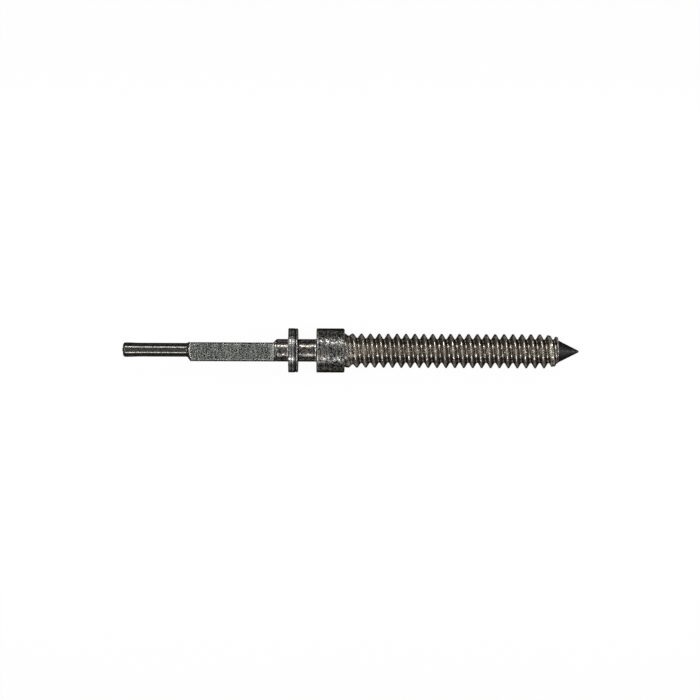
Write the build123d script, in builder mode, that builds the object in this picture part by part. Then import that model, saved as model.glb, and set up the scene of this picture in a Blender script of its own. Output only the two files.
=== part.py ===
from build123d import *
import os
from math import asin, atan2, ceil, cos, hypot, radians, sin, sqrt, tan

# A winding stem for a watch, turned from one steel bar, in millimetres.
# X runs along the stem's axis, from the pilot at the inner end to the point at the outer end.
# Z is up as the stem lies on a bench. The origin is on the axis, midway along the setting lever's groove.
# Each working length of the bar is a solid of its own, and it meets the next one face to face.

# Lengths along the stem, from the inner end to the outer end
pilot_length = 1.64
square_length = 2.25
pinion_seat_length = 0.30
flange_length = 0.25
groove_length = 0.46
hub_length = 0.71
thread_length = 5.38
point_length = 0.53

# Round sections
pilot_diameter = 0.35
pinion_seat_diameter = 0.57
flange_diameter = 1.12
groove_diameter = 0.57
hub_diameter = 1.12

# Pilot: a slightly domed end inside a rounded corner
pilot_end_rounding = 0.065
pilot_dome_height = 0.02

# Square: milled on four sides and bevelled at its corners, a little below the stem's axis
square_across_flats = 0.48
square_corner_bevel = 0.045
square_off_centre = 0.037
lead_cone_angle = 55
runout_angle = 52

# Flange and hub: how far their edges are broken
flange_rounding = 0.06
hub_chamfer = 0.03
groove_edge_chamfer = 0.015

# Thread for the crown: one right-hand rib with a flat crest, and a flat bottom between its turns.
# The first crest is measured on the +Y side, from the hub.
thread_diameter = 0.88
thread_pitch = 0.225
thread_crest_width = 0.03
thread_bottom_width = 0.033
thread_flank_angle = 30
first_crest_offset = 0.198

# Thread: the taper that leads a die on to the outer end, and the run-out where the die stopped.
# The share is how much of the thread's depth is cut at the hub.
thread_lead_length = 0.36
thread_lead_drop = 0.075
die_runout_length = 0.45
hub_depth_share = 0.15

# Point: a cone with a blunt tip
point_base_diameter = 0.57
point_tip_radius = 0.028

# How far a milling cut reaches past the end of the metal, and how deep the thread's rib sits in its core
overrun = 0.1
rib_overlap = 0.012

# Stations along the axis, counted both ways from the middle of the groove
groove_start = -groove_length / 2
flange_start = groove_start - flange_length
seat_start = flange_start - pinion_seat_length
square_start = seat_start - square_length
pilot_start = square_start - pilot_length
hub_start = groove_length / 2
thread_start = hub_start + hub_length
point_start = thread_start + thread_length
stem_end = point_start + point_length

os.makedirs("parts", exist_ok=True)


# Pilot: the thin round end that turns in the plate's pilot hole
pilot_radius = pilot_diameter / 2
with BuildPart() as pilot:
    with BuildSketch() as pilot_profile:
        with BuildLine():
            tip = (pilot_start, 0)
            rim = (pilot_start + pilot_dome_height, pilot_radius)
            TangentArc(tip, rim, tangent=(0, 1))
            Polyline(rim, (square_start, pilot_radius), (square_start, 0), tip)
        make_face()
        rim_corner = pilot_profile.vertices().group_by(Axis.Y)[-1].sort_by(Axis.X)[0]
        fillet(rim_corner, radius=pilot_end_rounding)
    revolve(axis=Axis.X)
pilot.part.label = "pilot"
export_step(pilot.part, "parts/pilot.step")


# Square: round stock with a lead cone, cut by four flats and four corner bevels.
# Every cut ends in a slope, where the cutter climbs out of the metal in front of the pinion seat.
seat_radius = pinion_seat_diameter / 2
flat_height = square_across_flats / 2
bevel_height = (square_across_flats - square_corner_bevel) / sqrt(2)
stock_radius = square_across_flats / sqrt(2) + square_off_centre
lead_cone_length = (stock_radius - pilot_radius) / tan(radians(lead_cone_angle))
deepest_cut = seat_radius - (flat_height - square_off_centre)
flat_end = seat_start - deepest_cut / tan(radians(runout_angle))
with BuildPart() as square:
    with BuildSketch():
        with BuildLine():
            Polyline(
                (square_start, 0),
                (square_start, pilot_radius),
                (square_start + lead_cone_length, stock_radius),
                (flat_end, stock_radius),
                (flat_end, seat_radius),
                (seat_start, seat_radius),
                (seat_start, 0),
                close=True,
            )
        make_face()
    revolve(axis=Axis.X)
    square_centre = Plane((0, -square_off_centre, 0))
    climb = stock_radius / tan(radians(runout_angle))
    for eighth in range(8):
        floor_height = bevel_height if eighth % 2 else flat_height
        with BuildSketch(square_centre.rotated((45 * eighth, 0, 0))):
            with BuildLine():
                Polyline(
                    (square_start - overrun, floor_height),
                    (flat_end, floor_height),
                    (flat_end + climb, floor_height + stock_radius),
                    (square_start - overrun, floor_height + stock_radius),
                    close=True,
                )
            make_face()
        extrude(amount=stock_radius + overrun, both=True, mode=Mode.SUBTRACT)
square.part.label = "square"
export_step(square.part, "parts/square.step")


# Pinion seat: the round length that the winding pinion turns on
with BuildPart() as pinion_seat:
    with BuildSketch(Plane.YZ.offset(seat_start)):
        Circle(seat_radius)
    extrude(amount=pinion_seat_length)
pinion_seat.part.label = "pinion_seat"
export_step(pinion_seat.part, "parts/pinion_seat.step")


# Lever flange: the thin collar that walls the groove, with its groove side rounded
with BuildPart() as lever_flange:
    with BuildSketch(Plane.YZ.offset(flange_start)):
        Circle(flange_diameter / 2)
    extrude(amount=flange_length)
    flange_rims = lever_flange.edges().filter_by(GeomType.CIRCLE).sort_by(Axis.X)
    chamfer(flange_rims[0], length=groove_edge_chamfer)
    fillet(flange_rims[-1], radius=flange_rounding)
lever_flange.part.label = "lever_flange"
export_step(lever_flange.part, "parts/lever_flange.step")


# Lever groove: the neck that the setting lever's pin rides in
with BuildPart() as lever_groove:
    with BuildSketch(Plane.YZ.offset(groove_start)):
        Circle(groove_diameter / 2)
    extrude(amount=groove_length)
lever_groove.part.label = "lever_groove"
export_step(lever_groove.part, "parts/lever_groove.step")


# Hub: the thick bearing that turns in the plate
with BuildPart() as hub:
    with BuildSketch(Plane.YZ.offset(hub_start)):
        Circle(hub_diameter / 2)
    extrude(amount=hub_length)
    hub_rims = hub.edges().filter_by(GeomType.CIRCLE).sort_by(Axis.X)
    chamfer(hub_rims[0], length=groove_edge_chamfer)
    chamfer(hub_rims[-1], length=hub_chamfer)
hub.part.label = "hub"
export_step(hub.part, "parts/hub.step")


# Thread: a helical rib on a round core. Both run past the two ends, and are then cut to length and
# turned to the taper. A cone fills the first turns to the depth that the die left.
crest_radius = thread_diameter / 2
thread_depth = (thread_pitch - thread_crest_width - thread_bottom_width) / (2 * tan(radians(thread_flank_angle)))
root_radius = crest_radius - thread_depth
foot_radius = root_radius - rib_overlap
foot_width = thread_crest_width + 2 * (thread_depth + rib_overlap) * tan(radians(thread_flank_angle))
turns_before = ceil(first_crest_offset / thread_pitch) + 1
rib_start = thread_start + first_crest_offset + thread_pitch / 4 - turns_before * thread_pitch
rib_turns = ceil((point_start - rib_start) / thread_pitch) + 1
core_start = rib_start - thread_pitch
core_end = rib_start + (rib_turns + 1) * thread_pitch
with BuildPart() as thread:
    with BuildSketch():
        with BuildLine():
            Polyline(
                (core_start, 0),
                (core_start, root_radius),
                (core_end, root_radius),
                (core_end, 0),
                close=True,
            )
        make_face()
    revolve(axis=Axis.X)
    with BuildLine() as rib_path:
        Helix(thread_pitch, rib_turns * thread_pitch, root_radius, center=(rib_start, 0, 0), direction=(1, 0, 0))
    with BuildSketch(Plane.XZ):
        with BuildLine():
            Polyline(
                (rib_start - thread_crest_width / 2, crest_radius),
                (rib_start + thread_crest_width / 2, crest_radius),
                (rib_start + foot_width / 2, foot_radius),
                (rib_start - foot_width / 2, foot_radius),
                close=True,
            )
        make_face()
    sweep(path=rib_path.line, is_frenet=True)
    with BuildSketch(Plane.YZ.offset(core_start - overrun)):
        Circle(crest_radius + overrun)
    extrude(amount=thread_start - core_start + overrun, mode=Mode.SUBTRACT)
    with BuildSketch(Plane.YZ.offset(point_start)):
        Circle(crest_radius + overrun)
    extrude(amount=core_end - point_start + overrun, mode=Mode.SUBTRACT)
    with BuildSketch():
        with BuildLine():
            Polyline(
                (point_start - 2 * thread_lead_length, crest_radius + thread_lead_drop),
                (point_start + thread_lead_length, crest_radius + thread_lead_drop),
                (point_start + thread_lead_length, crest_radius - 2 * thread_lead_drop),
                close=True,
            )
        make_face()
    revolve(axis=Axis.X, mode=Mode.SUBTRACT)
    with BuildSketch():
        with BuildLine():
            Polyline(
                (thread_start, 0),
                (thread_start, crest_radius - hub_depth_share * thread_depth),
                (thread_start + die_runout_length, foot_radius),
                (thread_start + die_runout_length, 0),
                close=True,
            )
        make_face()
    revolve(axis=Axis.X)
thread.part.label = "thread"
export_step(thread.part, "parts/thread.step")


# Point: the cone's side is tangent to its round tip
base_radius = point_base_diameter / 2
tip_centre = stem_end - point_tip_radius
cone_run = tip_centre - point_start
half_angle = atan2(base_radius, cone_run) - asin(point_tip_radius / hypot(cone_run, base_radius))
tip_start = (
    tip_centre + point_tip_radius * sin(half_angle),
    point_tip_radius * cos(half_angle),
)
with BuildPart() as point:
    with BuildSketch():
        with BuildLine():
            Line((point_start, base_radius), tip_start)
            TangentArc(tip_start, (stem_end, 0), tangent=(cos(half_angle), -sin(half_angle)))
            Polyline((stem_end, 0), (point_start, 0), (point_start, base_radius))
        make_face()
    revolve(axis=Axis.X)
point.part.label = "point"
export_step(point.part, "parts/point.step")
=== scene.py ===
from math import cos, radians, sin, tan

import bpy
import numpy as np
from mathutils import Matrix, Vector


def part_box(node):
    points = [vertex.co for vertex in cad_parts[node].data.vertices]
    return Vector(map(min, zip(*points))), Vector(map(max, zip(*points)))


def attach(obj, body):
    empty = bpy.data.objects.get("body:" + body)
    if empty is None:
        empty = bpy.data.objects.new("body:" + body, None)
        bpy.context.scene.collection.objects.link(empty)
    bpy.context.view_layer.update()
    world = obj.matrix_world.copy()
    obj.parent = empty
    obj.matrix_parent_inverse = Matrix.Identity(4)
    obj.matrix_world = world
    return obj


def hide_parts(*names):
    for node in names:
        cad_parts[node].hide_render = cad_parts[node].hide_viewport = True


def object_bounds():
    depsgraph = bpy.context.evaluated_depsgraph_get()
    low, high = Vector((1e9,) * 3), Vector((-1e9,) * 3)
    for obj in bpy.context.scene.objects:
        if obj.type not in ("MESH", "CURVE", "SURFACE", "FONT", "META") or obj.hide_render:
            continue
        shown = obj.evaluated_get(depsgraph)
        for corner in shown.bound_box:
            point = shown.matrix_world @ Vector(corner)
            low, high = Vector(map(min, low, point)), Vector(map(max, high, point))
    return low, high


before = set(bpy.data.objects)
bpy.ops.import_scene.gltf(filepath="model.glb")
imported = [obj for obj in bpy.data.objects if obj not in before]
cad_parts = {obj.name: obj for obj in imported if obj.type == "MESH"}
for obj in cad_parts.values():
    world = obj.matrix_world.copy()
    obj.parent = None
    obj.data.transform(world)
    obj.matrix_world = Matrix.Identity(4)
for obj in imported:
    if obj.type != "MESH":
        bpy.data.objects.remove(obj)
cad_box = [list(corner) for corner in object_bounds()]


# Pilot: the thin inner end of the stem, turned from the same steel bar as all the rest and burnished.
# Its end is rounded and keeps the pip of the parting tool, and the last stretch before the end is a touch
# thicker. Fine rings from the tool run round it.
mm = 0.001
pilot_start, pilot_end, pilot_radius = (
    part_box("pilot")[0].x / mm,
    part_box("pilot")[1].x / mm,
    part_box("pilot")[1].y / mm,
)
pilot_end_rounding = 0.065
pilot_pip_radius = 0.035
pilot_pip_height = 0.018
pilot_swelling = 0.009
pilot_swelling_start = 0.4
pilot_swelling_full = 0.17
pilot_swelling_bend = 4
neck_bevel = 0.022
neck_bevel_lean = radians(23)
neck_bevel_rise = neck_bevel * tan(neck_bevel_lean)
crisp_corner = 0.01
round_spacing = 0.02
round_spokes = 160
arc_points = 7


def soft_profile(points, rounding, spacing):
    """A lathe profile through the points, as arrays of place along the axis, radius and wear.

    Each corner is an arc tangent to both sides, with its own rounding radius. The arc's centre lies on the
    line that halves the corner, at the radius over the sine of half the corner's angle. The sides between
    are divided evenly, no coarser than the spacing. Wear is 1 on the arcs of corners that stand out, and 0
    elsewhere."""
    points = np.array(points, float)
    pieces = [points[:1]]
    worn = [np.zeros(1)]
    for before, corner, after, bend in zip(points, points[1:], points[2:], rounding):
        back = (before - corner) / np.linalg.norm(before - corner)
        on = (after - corner) / np.linalg.norm(after - corner)
        half = np.arccos(np.clip(back @ on, -1, 1)) / 2
        centre = corner + (back + on) / np.linalg.norm(back + on) * bend / np.sin(half)
        start = corner + back * bend / np.tan(half) - centre
        end = corner + on * bend / np.tan(half) - centre
        share = np.linspace(0, 1, arc_points)[:, None]
        arc = start * (1 - share) + end * share
        arc = centre + arc / np.linalg.norm(arc, axis=1)[:, None] * bend
        turn = on[0] * back[1] - on[1] * back[0]
        pieces.append(arc)
        worn.append(np.full(arc_points, float(turn > 0)))
    pieces.append(points[-1:])
    worn.append(np.zeros(1))
    line = [pieces[0]]
    wear_and_painted_light = [worn[0]]
    for first, second, mark in zip(pieces, pieces[1:], worn[1:]):
        gap = np.linalg.norm(second[0] - first[-1])
        share = np.linspace(0, 1, int(gap / spacing) + 2)[1:-1, None]
        line += [first[-1] * (1 - share) + second[0] * share, second]
        wear_and_painted_light += [np.zeros(len(share)), mark]
    line = np.concatenate(line)
    return line[:, 0], line[:, 1], np.concatenate(wear_and_painted_light)


def skin(name, x, radius, wear_and_painted_light, angles, centre_y=0.0):
    """A closed skin round the stem, with a value at each point for wear and for painted highlight and shade.

    Point (i, j) lies at x[i], radius[i, j] away from the centre line, at angles[j] counted from +Y to +Z.
    A fan of triangles to a pole on the centre line closes each end."""
    rows, spokes = radius.shape
    y = centre_y + radius * np.cos(angles)
    z = radius * np.sin(angles)
    grid = np.stack([np.broadcast_to(x[:, None], radius.shape), y, z], axis=-1).reshape(-1, 3)
    poles = np.array([[x[0], centre_y, 0], [x[-1], centre_y, 0]])
    number = np.arange(rows * spokes).reshape(rows, spokes)
    beside = np.roll(number, -1, axis=1)
    quads = np.stack([number[:-1], beside[:-1], beside[1:], number[1:]], axis=-1).reshape(-1, 4)
    first_pole = np.full(spokes, rows * spokes)
    fans = np.concatenate(
        [
            np.stack([first_pole, beside[0], number[0]], axis=-1),
            np.stack([first_pole + 1, number[-1], beside[-1]], axis=-1),
        ]
    )
    mesh = bpy.data.meshes.new(name)
    mesh.from_pydata(np.concatenate([grid, poles]) * mm, [], quads.tolist() + fans.tolist())
    mesh.polygons.foreach_set("use_smooth", np.ones(len(mesh.polygons), bool))
    layer = mesh.attributes.new("wear_and_painted_light", "FLOAT", "POINT")
    layer.data.foreach_set("value", np.append(wear_and_painted_light.ravel(), [0, 0]).astype(np.float32))
    mesh.update()
    piece = bpy.data.objects.new(name, mesh)
    bpy.context.scene.collection.objects.link(piece)
    return piece


def turned(name, profile, spokes=round_spokes):
    """A lathe-turned piece: its profile is carried round the axis unchanged.

    Points on the axis are left out, because the skin's poles stand there."""
    x, radius, wear_and_painted_light = (values[profile[1] > 0] for values in profile)
    angles = np.linspace(0, 2 * np.pi, spokes, endpoint=False)
    shape = (len(x), spokes)
    radius = np.broadcast_to(radius[:, None], shape)
    wear_and_painted_light = np.broadcast_to(wear_and_painted_light[:, None], shape)
    return skin(name, x, radius, wear_and_painted_light, angles)


def bell(x, middle, width):
    """A bell curve along the axis, 1 in the middle: the exponential of minus the square of the distance over
    the width."""
    return np.exp(-(((x - middle) / width) ** 2))


def add_node(tree, kind, inputs=(), **settings):
    """A shader node with its settings, and its named inputs set to a value or linked to another socket."""
    node = tree.nodes.new(kind)
    for key, value in settings.items():
        setattr(node, key, value)
    for key, value in dict(inputs).items():
        if isinstance(value, bpy.types.NodeSocket):
            tree.links.new(value, node.inputs[key])
        else:
            node.inputs[key].default_value = value
    return node


def calculate(tree, operation, *values):
    """The output of a Math node that works on two or three values or sockets."""
    return add_node(tree, "ShaderNodeMath", dict(enumerate(values)), operation=operation).outputs[0]


def new_group(name, inputs, outputs):
    """A shader node group with named sockets, and the two nodes that hold them."""
    tree = bpy.data.node_groups.new(name, "ShaderNodeTree")
    for socket, kind in inputs.items():
        tree.interface.new_socket(socket, in_out="INPUT", socket_type="NodeSocket" + kind)
    for socket, kind in outputs.items():
        tree.interface.new_socket(socket, in_out="OUTPUT", socket_type="NodeSocket" + kind)
    return tree, tree.nodes.new("NodeGroupInput").outputs, tree.nodes.new("NodeGroupOutput").inputs


# Machined steel, as every length of the stem shows it: dark and bright patches a few hundredths of a
# millimetre across, tool marks that follow the cut round the axis, and places that handling has rubbed.
# The wear input and the third colour carry those rubbed places, and also painted highlight and painted
# shade.
# Patches, specks and marks add up to a mottle, which mixes steel and oxide. Mottle and marks are the relief.
patch_octaves = 4.0
patch_harshness = 0.65
speck_octaves = 2.0
speck_fineness = 3.1
speck_share = 0.38
mark_octaves = 3.0
mark_harshness = 0.7
mark_share = 0.5
mark_shortness = 0.12
oxide_below = 0.84
steel_above = 1.04
speck_mask_from = 0.36
speck_mask_full = 0.56
micrometre = 0.001 * mm

steel_skin, skin_in, skin_out = new_group(
    "machined steel skin",
    {
        "Steel": "Color",
        "Oxide": "Color",
        "Rubbed": "Color",
        "Wear and painted light": "Float",
        "Patch size": "Float",
        "Mark width": "Float",
        "Patch height": "Float",
        "Mark height": "Float",
        "Roughness": "Float",
        "Roughness spread": "Float",
    },
    {"Color": "Color", "Roughness": "Float", "Normal": "Vector"},
)
place = add_node(steel_skin, "ShaderNodeTexCoord").outputs["Object"]
patch_scale = calculate(steel_skin, "DIVIDE", 1.0, skin_in["Patch size"])
patches = add_node(
    steel_skin,
    "ShaderNodeTexNoise",
    {"Vector": place, "Scale": patch_scale, "Detail": patch_octaves, "Roughness": patch_harshness},
).outputs[0]
speck_scale = calculate(steel_skin, "MULTIPLY", patch_scale, speck_fineness)
specks = add_node(
    steel_skin,
    "ShaderNodeTexNoise",
    {"Vector": place, "Scale": speck_scale, "Detail": speck_octaves},
).outputs[0]
along_the_cut = add_node(
    steel_skin,
    "ShaderNodeVectorMath",
    {0: place, 1: (1.0, mark_shortness, mark_shortness)},
    operation="MULTIPLY",
).outputs[0]
mark_scale = calculate(steel_skin, "DIVIDE", 1.0, skin_in["Mark width"])
marks = add_node(
    steel_skin,
    "ShaderNodeTexNoise",
    {"Vector": along_the_cut, "Scale": mark_scale, "Detail": mark_octaves, "Roughness": mark_harshness},
).outputs[0]
mottle = calculate(steel_skin, "MULTIPLY_ADD", specks, speck_share, patches)
mottle = calculate(steel_skin, "MULTIPLY_ADD", marks, mark_share, mottle)
mottle = add_node(
    steel_skin,
    "ShaderNodeMapRange",
    {"Value": mottle, "From Min": oxide_below, "From Max": steel_above},
    interpolation_type="SMOOTHSTEP",
).outputs[0]
ground = add_node(
    steel_skin,
    "ShaderNodeMix",
    {"Factor": mottle, 6: skin_in["Oxide"], 7: skin_in["Steel"]},
    data_type="RGBA",
).outputs[2]
# Where the wear input and the specks agree, the third colour is laid: rubbed metal, painted highlight on
# some pieces, and painted shade on the thread.
rubbed = add_node(
    steel_skin,
    "ShaderNodeMapRange",
    {"Value": specks, "From Min": speck_mask_from, "From Max": speck_mask_full},
    interpolation_type="SMOOTHSTEP",
).outputs[0]
rubbed = calculate(steel_skin, "MULTIPLY", rubbed, skin_in["Wear and painted light"])
color = add_node(
    steel_skin,
    "ShaderNodeMix",
    {"Factor": rubbed, 6: ground, 7: skin_in["Rubbed"]},
    data_type="RGBA",
).outputs[2]
uneven = calculate(steel_skin, "SUBTRACT", 0.5, patches)
rough = calculate(steel_skin, "MULTIPLY_ADD", uneven, skin_in["Roughness spread"], skin_in["Roughness"])
height = calculate(steel_skin, "MULTIPLY", mottle, skin_in["Patch height"])
height = calculate(steel_skin, "MULTIPLY_ADD", marks, skin_in["Mark height"], height)
relief = add_node(steel_skin, "ShaderNodeBump", {"Height": height, "Strength": 1.0, "Distance": micrometre})
steel_skin.links.new(color, skin_out["Color"])
steel_skin.links.new(rough, skin_out["Roughness"])
steel_skin.links.new(relief.outputs["Normal"], skin_out["Normal"])


def steel(name, edge_tint, **values):
    """A steel material: the skin group with this finish's values, over a metal that is dark at its edges."""
    material = bpy.data.materials.new(name)
    material.use_nodes = True
    tree = material.node_tree
    tree.nodes.clear()
    skin_node = add_node(tree, "ShaderNodeGroup", node_tree=steel_skin)
    for key, value in values.items():
        skin_node.inputs[key.replace("_", " ").capitalize()].default_value = value
    # This attribute holds rubbed places, painted highlight and painted shade alike.
    wear_and_painted_light = add_node(tree, "ShaderNodeAttribute", attribute_name="wear_and_painted_light").outputs["Fac"]
    tree.links.new(wear_and_painted_light, skin_node.inputs["Wear and painted light"])
    shader = add_node(
        tree,
        "ShaderNodeBsdfPrincipled",
        {
            "Base Color": skin_node.outputs["Color"],
            "Roughness": skin_node.outputs["Roughness"],
            "Normal": skin_node.outputs["Normal"],
            "Metallic": 1.0,
            "Specular Tint": edge_tint,
        },
    )
    add_node(tree, "ShaderNodeOutputMaterial", {"Surface": shader.outputs[0]})
    return material


pilot_steel = steel(
    "turned and burnished steel",
    edge_tint=(0.01, 0.01, 0.012, 1),
    steel=(0.062, 0.06, 0.053, 1),
    oxide=(0.028, 0.028, 0.026, 1),
    patch_size=0.05 * mm,
    mark_width=0.03 * mm,
    patch_height=0.17,
    mark_height=0.13,
    roughness=0.15,
    roughness_spread=0.08,
)
pilot_x, pilot_r, _ = soft_profile(
    [
        (pilot_start, 0.0),
        (pilot_start, pilot_pip_radius),
        (pilot_start + pilot_pip_height, pilot_pip_radius + pilot_pip_height),
        (pilot_start + pilot_pip_height, pilot_radius + pilot_swelling),
        (pilot_start + pilot_swelling_full, pilot_radius + pilot_swelling),
        (pilot_start + pilot_swelling_start, pilot_radius),
        (pilot_end - neck_bevel, pilot_radius),
        (pilot_end, pilot_radius + neck_bevel_rise),
    ],
    [crisp_corner, crisp_corner, pilot_end_rounding, pilot_swelling_bend, pilot_swelling_bend, crisp_corner],
    round_spacing,
)
pilot = turned("pilot_turned", (pilot_x, pilot_r, np.zeros_like(pilot_r)))
pilot.data.materials.append(pilot_steel)
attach(pilot, "root")
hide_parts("pilot")


# Square: four flats milled on the round steel bar, with bevelled corners, for the sliding pinion.
# The lead cone that was turned first stays at its inner end, and the cutter's climb-out at its outer end.
# Its box reaches down to the round outer end, so the flats lie 0.008 mm lower here than in the CAD.
square_start, square_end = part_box("square")[0].x / mm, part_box("square")[1].x / mm
square_box_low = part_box("square")[0].y / mm
seat_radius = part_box("square")[1].y / mm
flat_height = 0.24
bevel_height = 0.3076
square_centre = square_box_low + flat_height
lead_cone_angle = radians(55)
climb_angle = radians(52)
stock_radius = flat_height * 2**0.5 - square_centre
deepest_cut = seat_radius - (flat_height + square_centre)
flat_end = square_end - deepest_cut / tan(climb_angle)
milled_edge_blunting = 0.0022
climb_blunting = 0.005
climb_fillet = 0.009
edge_wear_and_highlight_width = 0.007
edge_wear_and_highlight_share = 0.4
edge_wear_and_highlight_fade = 1.5
gleam_offset = 0.01
gleam_width = 0.012
last_stroke = 0.06
last_stroke_highlight = 0.45
lead_stretch = 0.18
lead_row_count = 46
flat_row_count = 90
climb_stretch = 0.08
climb_row_count = 54
row_gap = 0.02
climb_seam = 0.01
square_spokes = 240
spoke_shift = 0.0001
edge_spokes = 9
edge_spread = radians(1.6)
least_facing = 0.3
out_of_reach = 10.0


def softest(surfaces, blunting):
    """The smallest of several radii at each point, with the edges between them blunted.

    It is the soft minimum: the least value, minus the blunting times the logarithm of the sum of the
    exponentials of how far each value lies above the least, counted in bluntings and taken negative."""
    stack = np.stack(np.broadcast_arrays(*surfaces))
    least = stack.min(axis=0)
    return least - blunting * np.log(np.exp((least - stack) / blunting).sum(axis=0))


edge_angle = np.arctan2(2**0.5 * bevel_height - flat_height, flat_height)
edge_angles = (np.arange(4)[:, None] * np.pi / 2 + [edge_angle, np.pi / 2 - edge_angle]).ravel()
square_angles = np.sort(
    np.concatenate(
        [
            np.linspace(0, 2 * np.pi, square_spokes, endpoint=False) + spoke_shift,
            (edge_angles[:, None] + np.linspace(-edge_spread, edge_spread, edge_spokes)).ravel(),
        ]
    )
)
lead_rows = np.linspace(square_start, square_start + lead_stretch, lead_row_count)
flat_rows = np.linspace(
    square_start + lead_stretch + row_gap,
    flat_end - climb_stretch - row_gap,
    flat_row_count,
)
climb_rows = np.linspace(flat_end - climb_stretch, square_end, climb_row_count)
square_x = np.concatenate([lead_rows, flat_rows, climb_rows])
before_climb = square_x < flat_end - climb_seam

# The turned stock is round about the stem's axis, so it is counted anew from the square's own centre.
# Cuts 0, 2, 4 and 6 are the flats and the odd ones the corner bevels. Each lies at its height over the
# cosine of the angle to its middle, and rises by a rounded ramp past the end of the flats.
stock = np.minimum(pilot_radius + (square_x - square_start) * tan(lead_cone_angle), stock_radius)
stock = np.where(before_climb, stock, seat_radius)[:, None]
offset = -square_centre
stock = offset * np.cos(square_angles) + np.sqrt(stock**2 - (offset * np.sin(square_angles)) ** 2)
climb = climb_fillet * np.logaddexp(0, (square_x - flat_end)[:, None] / climb_fillet) * tan(climb_angle)
cuts = []
for eighth in range(8):
    facing = np.cos(square_angles - eighth * np.pi / 4)
    cut_height = (bevel_height if eighth % 2 else flat_height) + climb
    cuts.append(np.where(facing > least_facing, cut_height / np.maximum(facing, least_facing), out_of_reach))
blunting = np.where(before_climb, milled_edge_blunting, climb_blunting)[:, None]
square_radius = softest([stock] + cuts, blunting)

# Along the edges, where a wide blunting would take much off, the mask is strong: rubbed edges with painted
# highlight. Three painted highlights, gleams across the flats, make it strong too: behind the lead cone, at
# the cutter's last stroke, and where the cutter climbs out.
nearest_cut = np.min(np.stack(np.broadcast_arrays(*cuts)), axis=0)
taken_off = np.minimum(nearest_cut, stock) - softest([stock] + cuts, edge_wear_and_highlight_width)
square_wear_and_highlight = np.clip(taken_off / (edge_wear_and_highlight_width * np.log(2)), 0, 1) ** edge_wear_and_highlight_fade
square_wear_and_highlight = edge_wear_and_highlight_share * square_wear_and_highlight * (square_x < flat_end)[:, None]
flats_begin = square_x[np.argmax(stock >= nearest_cut, axis=0)]
# Painted highlight lines across the flats, at the three places named above.
for gleam_x, strength in (
    (flats_begin + gleam_offset, 1.0),
    (flat_end - last_stroke, last_stroke_highlight),
    (flat_end - gleam_offset, 1.0),
):
    square_wear_and_highlight = np.maximum(square_wear_and_highlight, strength * bell(square_x[:, None], gleam_x, gleam_width))
square = skin("square_milled", square_x, square_radius, square_wear_and_highlight, square_angles, square_centre)
square.data.materials.append(
    steel(
        "milled steel",
        edge_tint=(0.02, 0.02, 0.02, 1),
        steel=(0.13, 0.135, 0.123, 1),
        oxide=(0.015, 0.016, 0.015, 1),
        rubbed=(0.48, 0.46, 0.44, 1),
        patch_size=0.04 * mm,
        mark_width=0.035 * mm,
        patch_height=3.4,
        mark_height=4.8,
        roughness=0.26,
        roughness_spread=0.2,
    )
)
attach(square, "root")
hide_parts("square")


# Pinion seat: the short round length that the winding pinion turns on.
# It is turned steel, burnished, with a small bevel in front and a small slope up to the flange.
seat_start, seat_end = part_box("pinion_seat")[0].x / mm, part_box("pinion_seat")[1].x / mm
neck_steel = steel(
    "turned and handled steel",
    edge_tint=(0.01, 0.01, 0.012, 1),
    steel=(0.115, 0.107, 0.095, 1),
    oxide=(0.021, 0.02, 0.02, 1),
    rubbed=(0.3, 0.28, 0.26, 1),
    patch_size=0.06 * mm,
    mark_width=0.04 * mm,
    patch_height=0.9,
    mark_height=0.7,
    roughness=0.25,
    roughness_spread=0.15,
)
seat = turned(
    "pinion_seat_turned",
    soft_profile(
        [
            (seat_start, seat_radius - neck_bevel_rise),
            (seat_start + neck_bevel, seat_radius),
            (seat_end - neck_bevel, seat_radius),
            (seat_end, seat_radius + neck_bevel_rise),
        ],
        [crisp_corner, crisp_corner],
        round_spacing,
    ),
)
seat.data.materials.append(neck_steel)
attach(seat, "root")
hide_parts("pinion_seat")


# Lever flange: the thin steel collar between seat and groove, turned with one deep ring round it.
# Its edge towards the seat is crisp. The one towards the groove is rounded, so that the setting lever's pin
# slides over it.
flange_start, flange_end, flange_radius = (
    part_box("lever_flange")[0].x / mm,
    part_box("lever_flange")[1].x / mm,
    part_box("lever_flange")[1].z / mm,
)
flange_inner_rounding = 0.014
flange_outer_rounding = 0.04
flange_outer_drop = 0.004
flange_ring_x = flange_end - 0.062
flange_ring_half_width = 0.014
flange_ring_depth = 0.02
flange_ring_edge_rounding = 0.004
flange_ring_floor_rounding = 0.003
flange_spacing = 0.006
flange_rim_share = 0.8
flange_gleams = (
    (flange_start + 0.05, 0.025, 0.6),
    (flange_start + 0.12, 0.012, 1.0),
    (flange_end - 0.028, 0.012, 1.0),
)
flange_steel = steel(
    "turned steel with deep rings",
    edge_tint=(0.01, 0.012, 0.015, 1),
    steel=(0.1, 0.097, 0.09, 1),
    oxide=(0.01, 0.012, 0.015, 1),
    rubbed=(0.3, 0.29, 0.28, 1),
    patch_size=0.05 * mm,
    mark_width=0.04 * mm,
    patch_height=1.5,
    mark_height=3.0,
    roughness=0.22,
    roughness_spread=0.2,
)
flange_x, flange_r, _ = soft_profile(
    [
        (flange_start, 0.0),
        (flange_start, flange_radius),
        (flange_ring_x - flange_ring_half_width, flange_radius),
        (flange_ring_x, flange_radius - flange_ring_depth),
        (flange_ring_x + flange_ring_half_width, flange_radius),
        (flange_end, flange_radius - flange_outer_drop),
        (flange_end, 0.0),
    ],
    [
        flange_inner_rounding,
        flange_ring_edge_rounding,
        flange_ring_floor_rounding,
        flange_ring_edge_rounding,
        flange_outer_rounding,
    ],
    flange_spacing,
)
flange_rim = flange_r > flange_radius * flange_rim_share
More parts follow.
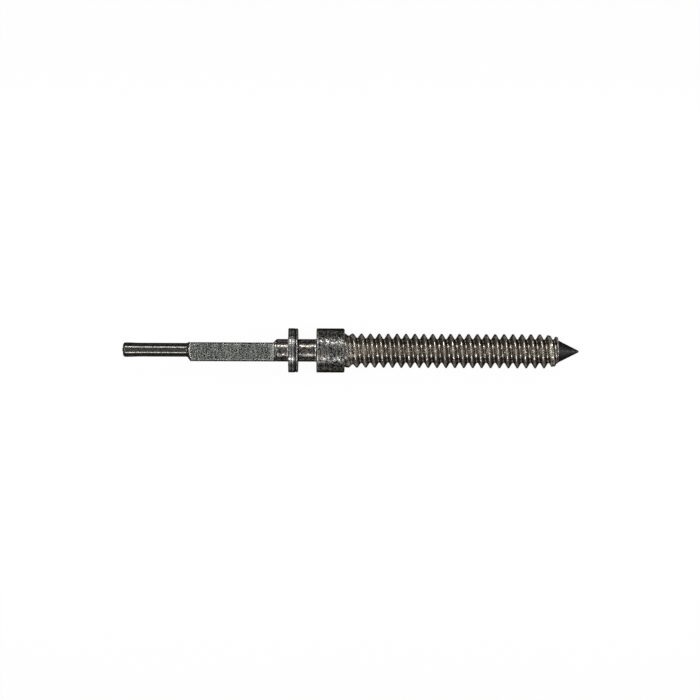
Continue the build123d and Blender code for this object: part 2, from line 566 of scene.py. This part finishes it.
# Three painted highlight rings, the gleams, run round the flange's rim.
flange_painted_highlight = sum(share * bell(flange_x, gleam_x, width) for gleam_x, width, share in flange_gleams)
flange = turned("lever_flange_turned", (flange_x, flange_r, flange_painted_highlight * flange_rim))
flange.data.materials.append(flange_steel)
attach(flange, "root")
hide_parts("lever_flange")


# Lever groove: the neck between flange and hub, which the setting lever's pin rides in.
# It is plunged into the steel with a narrow tool, which leaves a small slope in front of the hub.
groove_start, groove_end, groove_radius = (
    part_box("lever_groove")[0].x / mm,
    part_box("lever_groove")[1].x / mm,
    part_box("lever_groove")[1].y / mm,
)
groove = turned(
    "lever_groove_turned",
    soft_profile(
        [
            (groove_start, groove_radius),
            (groove_end - neck_bevel, groove_radius),
            (groove_end, groove_radius + neck_bevel_rise),
        ],
        [crisp_corner],
        round_spacing,
    ),
)
groove.data.materials.append(neck_steel)
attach(groove, "root")
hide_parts("lever_groove")


# Hub: the thick bearing that turns in the plate, of turned steel with a broken edge at each end.
# One faint tool mark runs round it. It is blackened, with bare metal in specks and on its broken edges, and
# painted highlight rings close to its two ends.
hub_start, hub_end, hub_radius = (
    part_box("hub")[0].x / mm,
    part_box("hub")[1].x / mm,
    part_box("hub")[1].z / mm,
)
hub_chamfer = 0.03
hub_inner_chamfer = 0.015
tool_mark_x = hub_start + 0.33
tool_mark_width = 0.014
tool_mark_depth = 0.0012
hub_roundings = [0.004, 0.008, 0.014, 0.008]
hub_spacing = 0.007
hub_rim_share = 0.9
hub_gleams = (hub_start + 0.035, hub_end - 0.012)
hub_gleam_width = 0.01
hub_gleam_share = 0.7
dark_steel = steel(
    "turned and blackened steel",
    edge_tint=(0.01, 0.012, 0.015, 1),
    steel=(0.13, 0.124, 0.11, 1),
    oxide=(0.006, 0.009, 0.013, 1),
    rubbed=(0.34, 0.33, 0.3, 1),
    patch_size=0.055 * mm,
    mark_width=0.045 * mm,
    patch_height=1.8,
    mark_height=2.2,
    roughness=0.25,
    roughness_spread=0.25,
)
hub_x, hub_r, hub_wear_and_highlight = soft_profile(
    [
        (hub_start, 0.0),
        (hub_start, hub_radius - hub_inner_chamfer),
        (hub_start + hub_inner_chamfer, hub_radius),
        (hub_end - hub_chamfer, hub_radius),
        (hub_end, hub_radius - hub_chamfer),
        (hub_end, 0.0),
    ],
    hub_roundings,
    hub_spacing,
)
hub_r = hub_r - tool_mark_depth * bell(hub_x, tool_mark_x, tool_mark_width)
hub_rim = hub_r > hub_radius * hub_rim_share
# Painted highlight rings close to both ends.
for gleam_x in hub_gleams:
    hub_wear_and_highlight += hub_gleam_share * bell(hub_x, gleam_x, hub_gleam_width) * hub_rim
hub = turned("hub_turned", (hub_x, hub_r, hub_wear_and_highlight))
hub.data.materials.append(dark_steel)
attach(hub, "root")
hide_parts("hub")


# Thread: the long right-hand thread that the crown screws onto, cut on the steel bar with a die.
# Its first turns are shallow, where the die's lead stopped, and its last crests are turned down in front of
# the point. The die left its crests ragged. Painted shade makes crests and bottoms darker than the flanks,
# and the stretch beside the hub darkest, as the hub's shadow.
thread_start, thread_end, crest_radius = (
    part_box("thread")[0].x / mm,
    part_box("thread")[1].x / mm,
    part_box("thread")[1].y / mm,
)
pitch = 0.225
first_top_crest = thread_start + 0.198
thread_depth = 0.14
crest_half_share = 0.07
root_half_share = 0.078
flank_share = 0.5 - crest_half_share - root_half_share
corner_share = 0.01
run_out_depths = [0.15, 0.5, 0.84, 0.9, 0.95, 1.0]
run_out_turns = [0.0, 0.55, 1.45, 2.45, 3.45, 4.4]
lead_length = 0.36
lead_radius = 0.365
rows_per_turn = 29
thread_spokes = 120
crest_wear_depth = 0.008
crest_wear_fade = 3
burr_height = 0.003
burr_seed = 7
burr_waves = 40
first_burr_wave = 3
burr_wave_step = 0.9
burr_scatter = 6
burr_spread = 9
dark_edge_share = 0.6
dark_edge_fade = 5
dark_start_length = 0.11
dark_start_fade = 0.04
dark_start_strength = 3


def soft_ramp(value, blunting):
    """A ramp that starts at zero with a blunted corner: the blunting times the logarithm of 1 plus the
    exponential of the value over the blunting."""
    return blunting * np.logaddexp(0, value / blunting)


thread_rows = int((thread_end - thread_start) / pitch * rows_per_turn)
thread_x = np.linspace(thread_start, thread_end, thread_rows)
thread_angles = np.linspace(0, 2 * np.pi, thread_spokes, endpoint=False)

# The cut is 0 on a crest, 1 at the bottom between two crests, and rises evenly along the flank, by how many
# turns a point lies from its crest. The radius is the crest's, less the cut times the depth.
turns = (thread_x[:, None] - first_top_crest) / pitch - thread_angles / (2 * np.pi)
crest_number = np.round(turns)
past_crest = np.abs(turns - crest_number) - crest_half_share
cut = soft_ramp(past_crest, corner_share) - soft_ramp(past_crest - flank_share, corner_share)
cut = (cut / flank_share).clip(0, 1)
depth = thread_depth * np.interp((thread_x - thread_start) / pitch, run_out_turns, run_out_depths)
into_lead = np.maximum(thread_x - (thread_end - lead_length), 0) / lead_length
crest = crest_radius - into_lead * (crest_radius - lead_radius)
thread_radius = np.minimum(crest_radius - depth[:, None] * cut, crest[:, None])

# The burr is a sum of waves round the axis, each with its own height and start, shifted from turn to turn.
waves = (np.arange(burr_waves) * burr_wave_step + first_burr_wave).round()
burrs = np.random.default_rng(burr_seed).normal(size=(burr_waves, 3))
ragged = sum(
    height * np.sin(wave * thread_angles + start * burr_scatter + shift * crest_number)
    for wave, (height, start, shift) in zip(waves, burrs)
)
ragged = ragged / burr_spread
thread_radius += (1 - cut) ** crest_wear_fade * (burr_height * ragged - crest_wear_depth)

# Painted shade: crests and bottoms darker than the flanks, and the stretch beside the hub darkest, as the
# hub's shadow.
dark_crest = np.clip(1 - cut * dark_edge_fade, 0, 1)
dark_bottom = np.clip(1 - (1 - cut) * dark_edge_fade, 0, 1)
dark_start = np.clip((thread_start + dark_start_length - thread_x) / dark_start_fade, 0, dark_start_strength)
thread_painted_shade = np.maximum(dark_edge_share * (dark_crest + dark_bottom), dark_start[:, None])
thread = skin("thread_cut", thread_x, thread_radius, thread_painted_shade, thread_angles)
# Its third colour is the dark of the painted shade, against lighter flanks.
thread_steel = steel(
    "die-cut steel",
    edge_tint=(0.02, 0.02, 0.02, 1),
    steel=(0.345, 0.318, 0.278, 1),
    oxide=(0.178, 0.164, 0.145, 1),
    rubbed=(0.055, 0.052, 0.048, 1),
    patch_size=0.045 * mm,
    mark_width=0.03 * mm,
    patch_height=1.1,
    mark_height=0.5,
    roughness=0.2,
    roughness_spread=0.2,
)
thread.data.materials.append(thread_steel)
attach(thread, "root")
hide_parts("thread")


# Point: the blunt cone at the outer end, which leads the thread into a crown before the stem is cut to
# length. It is ground steel, blackened, with a tip that is rounded and rubbed bright.
point_start, point_end, point_radius = (
    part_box("point")[0].x / mm,
    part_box("point")[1].x / mm,
    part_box("point")[1].y / mm,
)
tip_rounding = 0.028
tip_centre = point_end - tip_rounding
cone_rows = 40
tip_rows = 7
point_spokes = 96

# The cone's side is tangent to the round tip, so its angle to the axis is that of the line from its rim to
# the tip's centre, less the angle that the tip's radius takes up along that line.
cone_run = tip_centre - point_start
cone_angle = np.arctan2(point_radius, cone_run) - np.arcsin(tip_rounding / np.hypot(cone_run, point_radius))
tangent_x = tip_centre + tip_rounding * sin(cone_angle)
tangent_radius = tip_rounding * cos(cone_angle)
tip_angles = (np.pi / 2 - cone_angle) * np.linspace(1, 0, tip_rows + 2)[1:-1]
tip_x = tip_centre + tip_rounding * np.cos(tip_angles)
tip_radius = tip_rounding * np.sin(tip_angles)
point_x = np.concatenate([np.linspace(point_start, tangent_x, cone_rows), tip_x])
point_r = np.concatenate([np.linspace(point_radius, tangent_radius, cone_rows), tip_radius])
point_wear = np.concatenate([np.zeros(cone_rows), np.ones(tip_rows)])
point = turned("point_ground", (point_x, point_r, point_wear), point_spokes)
point.data.materials.append(
    steel(
        "ground and blackened steel",
        edge_tint=(0.04, 0.04, 0.04, 1),
        steel=(0.035, 0.035, 0.036, 1),
        oxide=(0.018, 0.018, 0.019, 1),
        rubbed=(0.5, 0.5, 0.5, 1),
        patch_size=0.05 * mm,
        mark_width=0.02 * mm,
        patch_height=0.8,
        mark_height=0.8,
        roughness=0.36,
        roughness_spread=0.2,
    )
)
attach(point, "root")
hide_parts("point")


# Floor: a bench under plain pale paper, seen as nearly white, that the stem lies on by its hub and flange.
# What the camera and reflections see of it is mostly its own white, and the rest keeps the stem's shadow.
floor_reach = 1.0
floor_z = cad_box[0][2]
floor_colour = (0.9, 0.9, 0.9, 1)
floor_glow_share = 0.96
bench_corners = [(-1, -1), (1, -1), (1, 1), (-1, 1)]
bench_mesh = bpy.data.meshes.new("bench")
bench_mesh.from_pydata(
    [(x * floor_reach, y * floor_reach, floor_z) for x, y in bench_corners],
    [],
    [(0, 1, 2, 3)],
)
bench = bpy.data.objects.new("bench", bench_mesh)
bpy.context.scene.collection.objects.link(bench)
bench_paper = bpy.data.materials.new("pale paper")
bench_paper.use_nodes = True
paper = bench_paper.node_tree
paper.nodes.clear()


def seen_rays(tree):
    """1 for the rays that show the background: the camera's, and those of reflections and clear things."""
    rays = add_node(tree, "ShaderNodeLightPath").outputs
    seen = calculate(tree, "MAXIMUM", rays["Is Camera Ray"], rays["Is Glossy Ray"])
    return calculate(tree, "MAXIMUM", seen, rays["Is Transmission Ray"])


paper_diffuse = add_node(paper, "ShaderNodeBsdfDiffuse", {"Color": floor_colour})
paper_glow = add_node(paper, "ShaderNodeEmission", {"Strength": 1.0})
paper_mix = add_node(
    paper,
    "ShaderNodeMixShader",
    {
        0: calculate(paper, "MULTIPLY", seen_rays(paper), floor_glow_share),
        1: paper_diffuse.outputs[0],
        2: paper_glow.outputs[0],
    },
)
add_node(paper, "ShaderNodeOutputMaterial", {"Surface": paper_mix.outputs[0]})
bench.data.materials.append(bench_paper)


# Light: a ring of soft lamps round the camera's axis, strongest above and below the stem and weaker at its
# ends. The room beyond them is white to the camera and in reflections, and dim as a light. Two black flags,
# one along each side of the stem and unseen by the camera, keep that white out of its round sides.
lamp_distance = 0.15
lamp_lean = radians(46)
lamp_width = radians(5)
lamp_count = 32
lamp_gap_share = 0.05
lamp_radiance = 55.0
least_share = 0.08
end_share = 0.6
lamp_gathering = 40
lamp_bias = 0.1
room_light = 0.15
ring_radius = lamp_distance * sin(lamp_lean)
ring_height = lamp_distance * cos(lamp_lean)
for number in range(lamp_count):
    round_angle = 2 * np.pi * (number + 0.5) / lamp_count
    share = sin(round_angle) ** lamp_gathering + end_share * cos(round_angle) ** lamp_gathering
    share = (least_share + (1 - least_share) * share) * (1 + lamp_bias * sin(round_angle))
    lamp = bpy.data.lights.new("ring lamp", "AREA")
    lamp.shape = "RECTANGLE"
    lamp.size = 2 * np.pi * ring_radius / lamp_count * (1 - lamp_gap_share)
    lamp.size_y = lamp_distance * lamp_width
    lamp.energy = lamp_radiance * share * np.pi * lamp.size * lamp.size_y
    lamp_stand = bpy.data.objects.new("ring lamp", lamp)
    lamp_stand.location = (ring_radius * cos(round_angle), ring_radius * sin(round_angle), ring_height)
    lamp_stand.rotation_euler = (lamp_lean, 0, round_angle + np.pi / 2)
    lamp_stand.visible_camera = False
    bpy.context.scene.collection.objects.link(lamp_stand)

flag_distance = 9.6 * mm
flag_height = 3.6 * mm
flag_reach = 30 * mm
flag_corners = [(-1, 0), (1, 0), (1, 1), (-1, 1)]
flag_cloth = bpy.data.materials.new("black flag cloth")
flag_cloth.use_nodes = True
flag_cloth.node_tree.nodes.clear()
flag_black = add_node(flag_cloth.node_tree, "ShaderNodeBsdfDiffuse", {"Color": (0.004, 0.004, 0.004, 1)})
add_node(flag_cloth.node_tree, "ShaderNodeOutputMaterial", {"Surface": flag_black.outputs[0]})
for flag_y in (-flag_distance, flag_distance):
    flag_mesh = bpy.data.meshes.new("flag")
    flag_mesh.from_pydata(
        [(x * flag_reach, flag_y, floor_z + z * flag_height) for x, z in flag_corners],
        [],
        [(0, 1, 2, 3)],
    )
    flag = bpy.data.objects.new("flag", flag_mesh)
    bpy.context.scene.collection.objects.link(flag)
    flag.data.materials.append(flag_cloth)
    flag.visible_camera = False

room = bpy.data.worlds.new("room")
bpy.context.scene.world = room
room.use_nodes = True
walls = room.node_tree
walls.nodes.clear()
wall_strength = calculate(walls, "MULTIPLY_ADD", seen_rays(walls), 1 - room_light, room_light)
wall_white = add_node(walls, "ShaderNodeBackground", {"Color": (1, 1, 1, 1), "Strength": wall_strength})
add_node(walls, "ShaderNodeOutputWorld", {"Surface": wall_white.outputs[0]})


# Camera: square above the stem with a long lens, at the photograph's scale.
# It stands and turns so that the groove lands on its pixel of the photograph, and the stem keeps its tilt.
photo_side = 700
photo_pixels_per_mm = 39.62
groove_pixel_x = 307.4
groove_pixel_y = 350.38
photo_tilt = radians(0.25)
lens = 180
sensor = 36
camera = bpy.data.cameras.new("camera")
camera.lens = lens
camera.sensor_width = sensor
camera.clip_start = 0.001
camera.clip_end = 10
right = (photo_side / 2 - groove_pixel_x) / photo_pixels_per_mm
up = (groove_pixel_y - photo_side / 2) / photo_pixels_per_mm
view_width = photo_side / photo_pixels_per_mm * mm
camera_stand = bpy.data.objects.new("camera", camera)
camera_stand.location = (
    (right * cos(photo_tilt) - up * sin(photo_tilt)) * mm,
    (right * sin(photo_tilt) + up * cos(photo_tilt)) * mm,
    view_width * lens / sensor,
)
camera_stand.rotation_euler = (0, 0, photo_tilt)
bpy.context.scene.collection.objects.link(camera_stand)
bpy.context.scene.camera = camera_stand
bpy.context.scene.view_settings.view_transform = "Standard"
